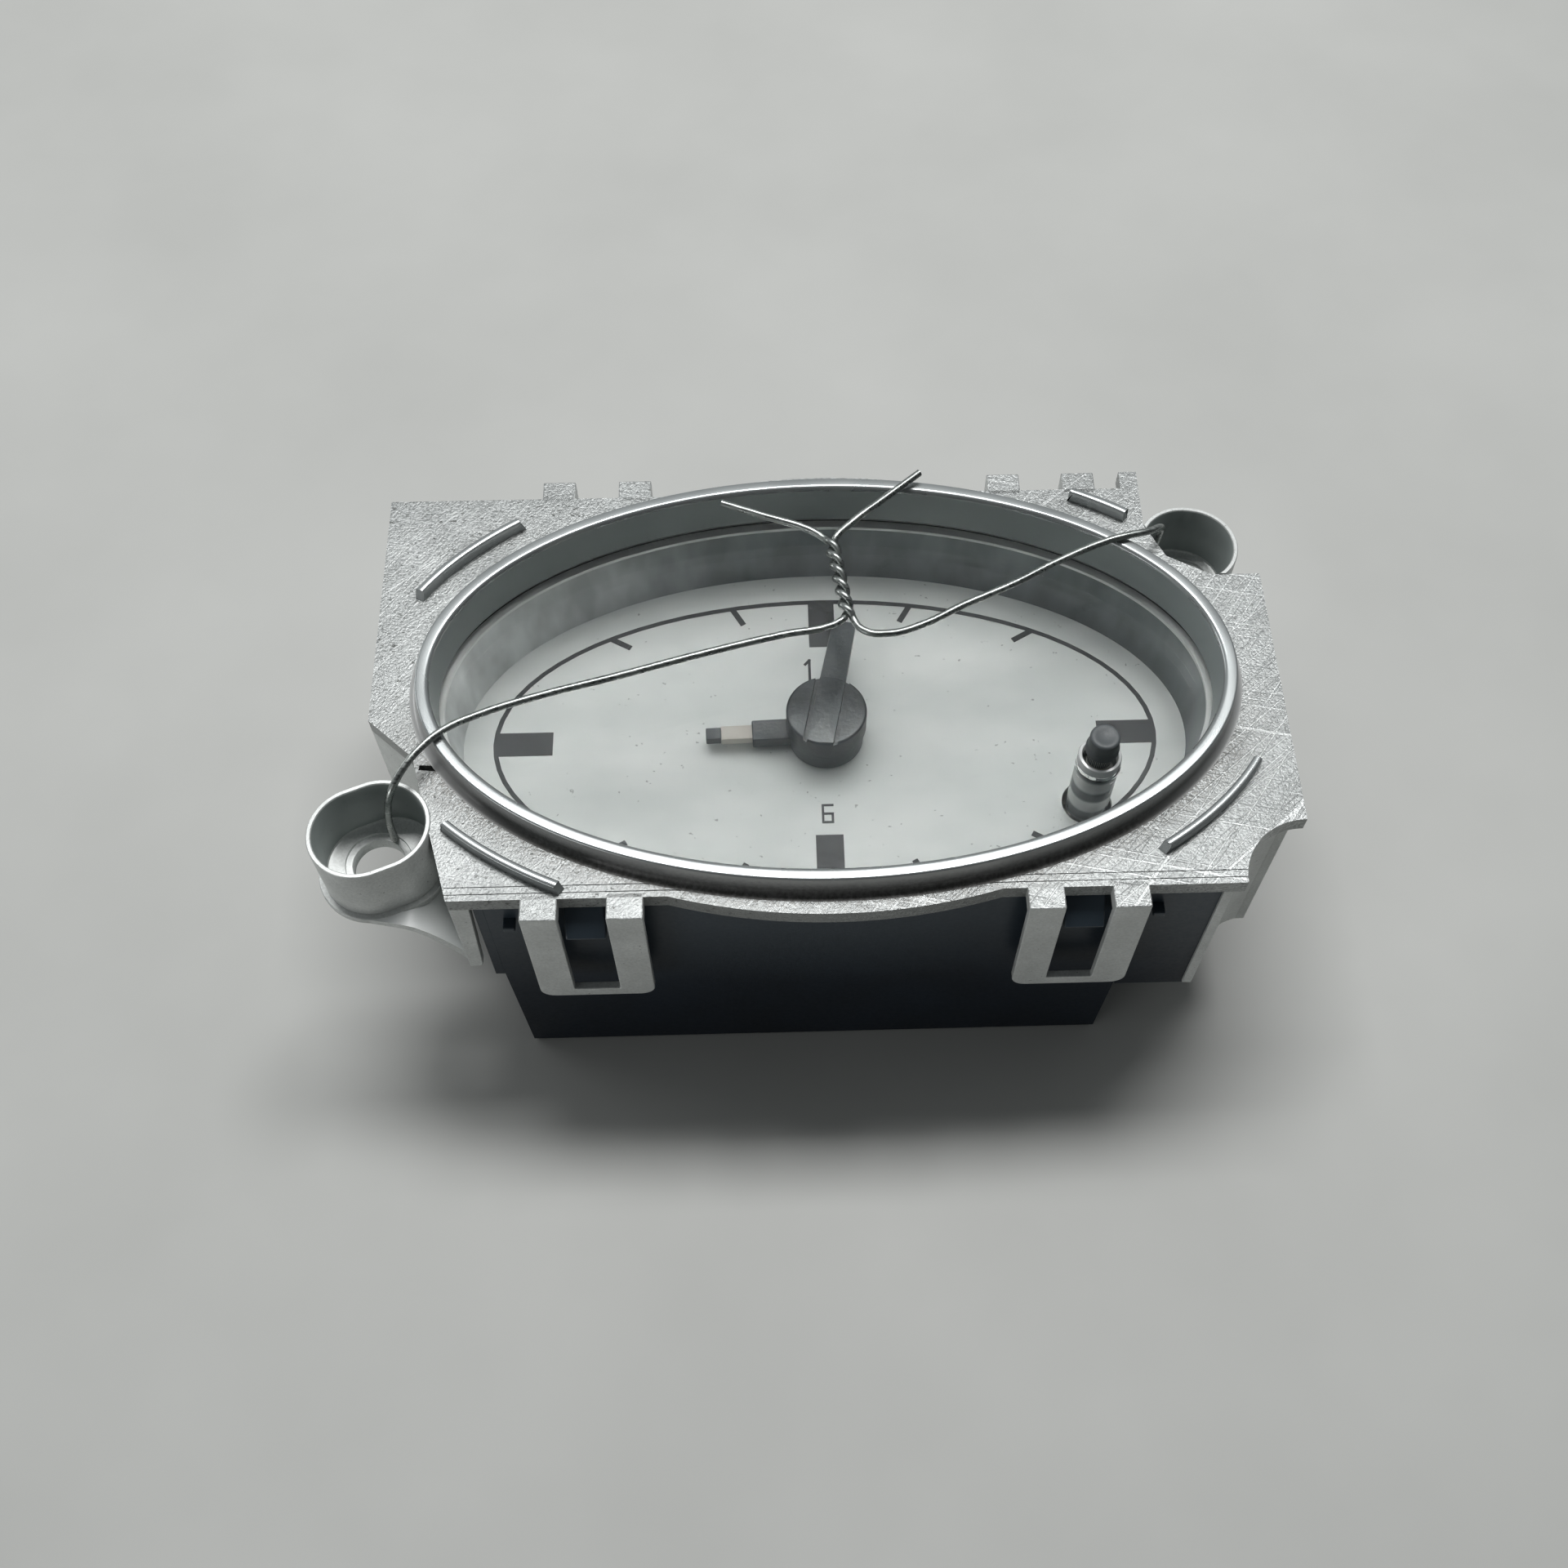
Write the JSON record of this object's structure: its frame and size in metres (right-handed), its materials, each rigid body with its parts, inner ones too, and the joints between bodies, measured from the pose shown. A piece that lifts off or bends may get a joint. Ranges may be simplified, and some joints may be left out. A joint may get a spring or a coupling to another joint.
{
  "type": "car dashboard clock",
  "caption": "Oval car dashboard clock: silver bezel with screw ears and snap loops, glass, dial, geared hands, push-and-turn set knob, quartz movement and rear case.",
  "frame": {"origin": "where the hands' axis meets the plane of the flat rear face", "axes": "+Z is the dial's outward normal, +X points to 3 o'clock, +Y to 12 o'clock"},
  "size_m": [0.1154, 0.0626, 0.0468],
  "materials": {
    "silver_paint": "satin silver paint on moulded plastic, finely grained on the flange",
    "clear_plastic": "clear moulded acrylic",
    "grey_plastic": "satin grey",
    "dial_silver": "pale silver, satin print",
    "dial_ink": "matt black ink",
    "black_plastic": "satin black",
    "white_plastic": "natural acetal",
    "brass": "turned",
    "knob_plastic": "satin dark grey",
    "spring_steel": "drawn wire",
    "movement_plastic": "satin",
    "zinc_steel": "plated",
    "blue_plastic": "moulded",
    "ferrite": "sintered, ground",
    "silicon_steel": "stamped",
    "enamelled_copper": "wound, varnished",
    "board_green": "solder mask",
    "chip_black": "moulded epoxy",
    "capacitor_blue": "sleeved",
    "lamp_glass": "blown",
    "housing_plastic": "semi-gloss navy black",
    "galvanised_wire": "drawn, dulled zinc"
  },
  "bodies": {
    "case": {"front_bezel": "silver_paint", "lens": "clear_plastic", "inner_surround": "grey_plastic", "dial": "dial_silver", "dial_print": "dial_ink", "set_spring": "spring_steel", "top_plate": "movement_plastic", "base_plate": "movement_plastic", "plate_screws": "zinc_steel", "stator": "silicon_steel", "coil_bobbin": "movement_plastic", "coil_winding": "enamelled_copper", "circuit_board": "board_green", "quartz_crystal": "zinc_steel", "driver_chip": "chip_black", "capacitors": "capacitor_blue", "lamp_holder": "black_plastic", "lamp": "lamp_glass", "terminal_pins": "brass", "rear_housing": "housing_plastic", "tie_wire_left": "galvanised_wire", "tie_wire_right": "galvanised_wire"},
    "minute": {"minute_hand": "black_plastic", "cannon_pinion": "brass"},
    "hour": {"hour_hand": "black_plastic", "hour_pointer": "white_plastic", "hour_wheel": "white_plastic"},
    "minute_wheel": {"minute_wheel": "white_plastic"},
    "setting_wheel": {"setting_wheel": "white_plastic"},
    "push": {"spring_cup": "white_plastic"},
    "knob": {"set_knob": "knob_plastic", "set_stem": "white_plastic"},
    "centre_wheel": {"centre_wheel": "brass"},
    "third_wheel": {"third_wheel": "white_plastic"},
    "first_wheel": {"first_wheel": "white_plastic"},
    "rotor": {"rotor": "blue_plastic", "rotor_magnet": "ferrite"}
  },
  "joints": [
    {"name": "minute_turn", "type": "hinge", "parent": "case", "child": "minute", "pos_m": [0, 0, 0.0327], "axis": [0, 0, 1], "continuous": true},
    {"name": "hour_turn", "type": "hinge", "parent": "case", "child": "hour", "pos_m": [0, 0, 0.0297], "axis": [0, 0, 1], "continuous": true},
    {"name": "minute_wheel_turn", "type": "hinge", "parent": "case", "child": "minute_wheel", "pos_m": [0.01144, -0.00363, 0.0225], "axis": [0, 0, 1], "continuous": true},
    {"name": "setting_wheel_turn", "type": "hinge", "parent": "case", "child": "setting_wheel", "pos_m": [0.02501, -0.00708, 0.0225], "axis": [0, 0, 1], "continuous": true},
    {"name": "knob_push", "type": "slide", "parent": "case", "child": "push", "axis": [0, 0, -1], "range_m": [0, 0.0012], "stiffness_N_per_m": 150, "springref_m": -0.0004, "deforming": ["set_spring"]},
    {"name": "knob_turn", "type": "hinge", "parent": "push", "child": "knob", "pos_m": [0.0321, -0.0102, 0.0397], "axis": [0, 0, 1], "continuous": true},
    {"name": "rotor_spin", "type": "hinge", "parent": "case", "child": "rotor", "pos_m": [-0.02452, 0.01027, 0.0135], "axis": [0, 0, 1], "continuous": true},
    {"name": "first_wheel_turn", "type": "hinge", "parent": "case", "child": "first_wheel", "pos_m": [-0.02286, 0.00081, 0.0186], "axis": [0, 0, 1], "continuous": true},
    {"name": "third_wheel_turn", "type": "hinge", "parent": "case", "child": "third_wheel", "pos_m": [-0.01316, -0.00479, 0.0165], "axis": [0, 0, 1], "continuous": true},
    {"name": "centre_wheel_turn", "type": "hinge", "parent": "case", "child": "centre_wheel", "pos_m": [0, 0, 0.0113], "axis": [0, 0, 1], "continuous": true}
  ],
  "couplings": [
    {"joint": "hour_turn", "follows": "minute_turn", "ratio": 0.083333},
    {"joint": "minute_wheel_turn", "follows": "minute_turn", "ratio": -0.33333},
    {"joint": "setting_wheel_turn", "follows": "minute_turn", "ratio": 0.6},
    {"joint": "knob_turn", "follows": "minute_turn", "ratio": -1.0909},
    {"joint": "first_wheel_turn", "follows": "rotor_spin", "ratio": -0.2},
    {"joint": "third_wheel_turn", "follows": "rotor_spin", "ratio": 0.033333},
    {"joint": "centre_wheel_turn", "follows": "rotor_spin", "ratio": -0.0055556}
  ]
}
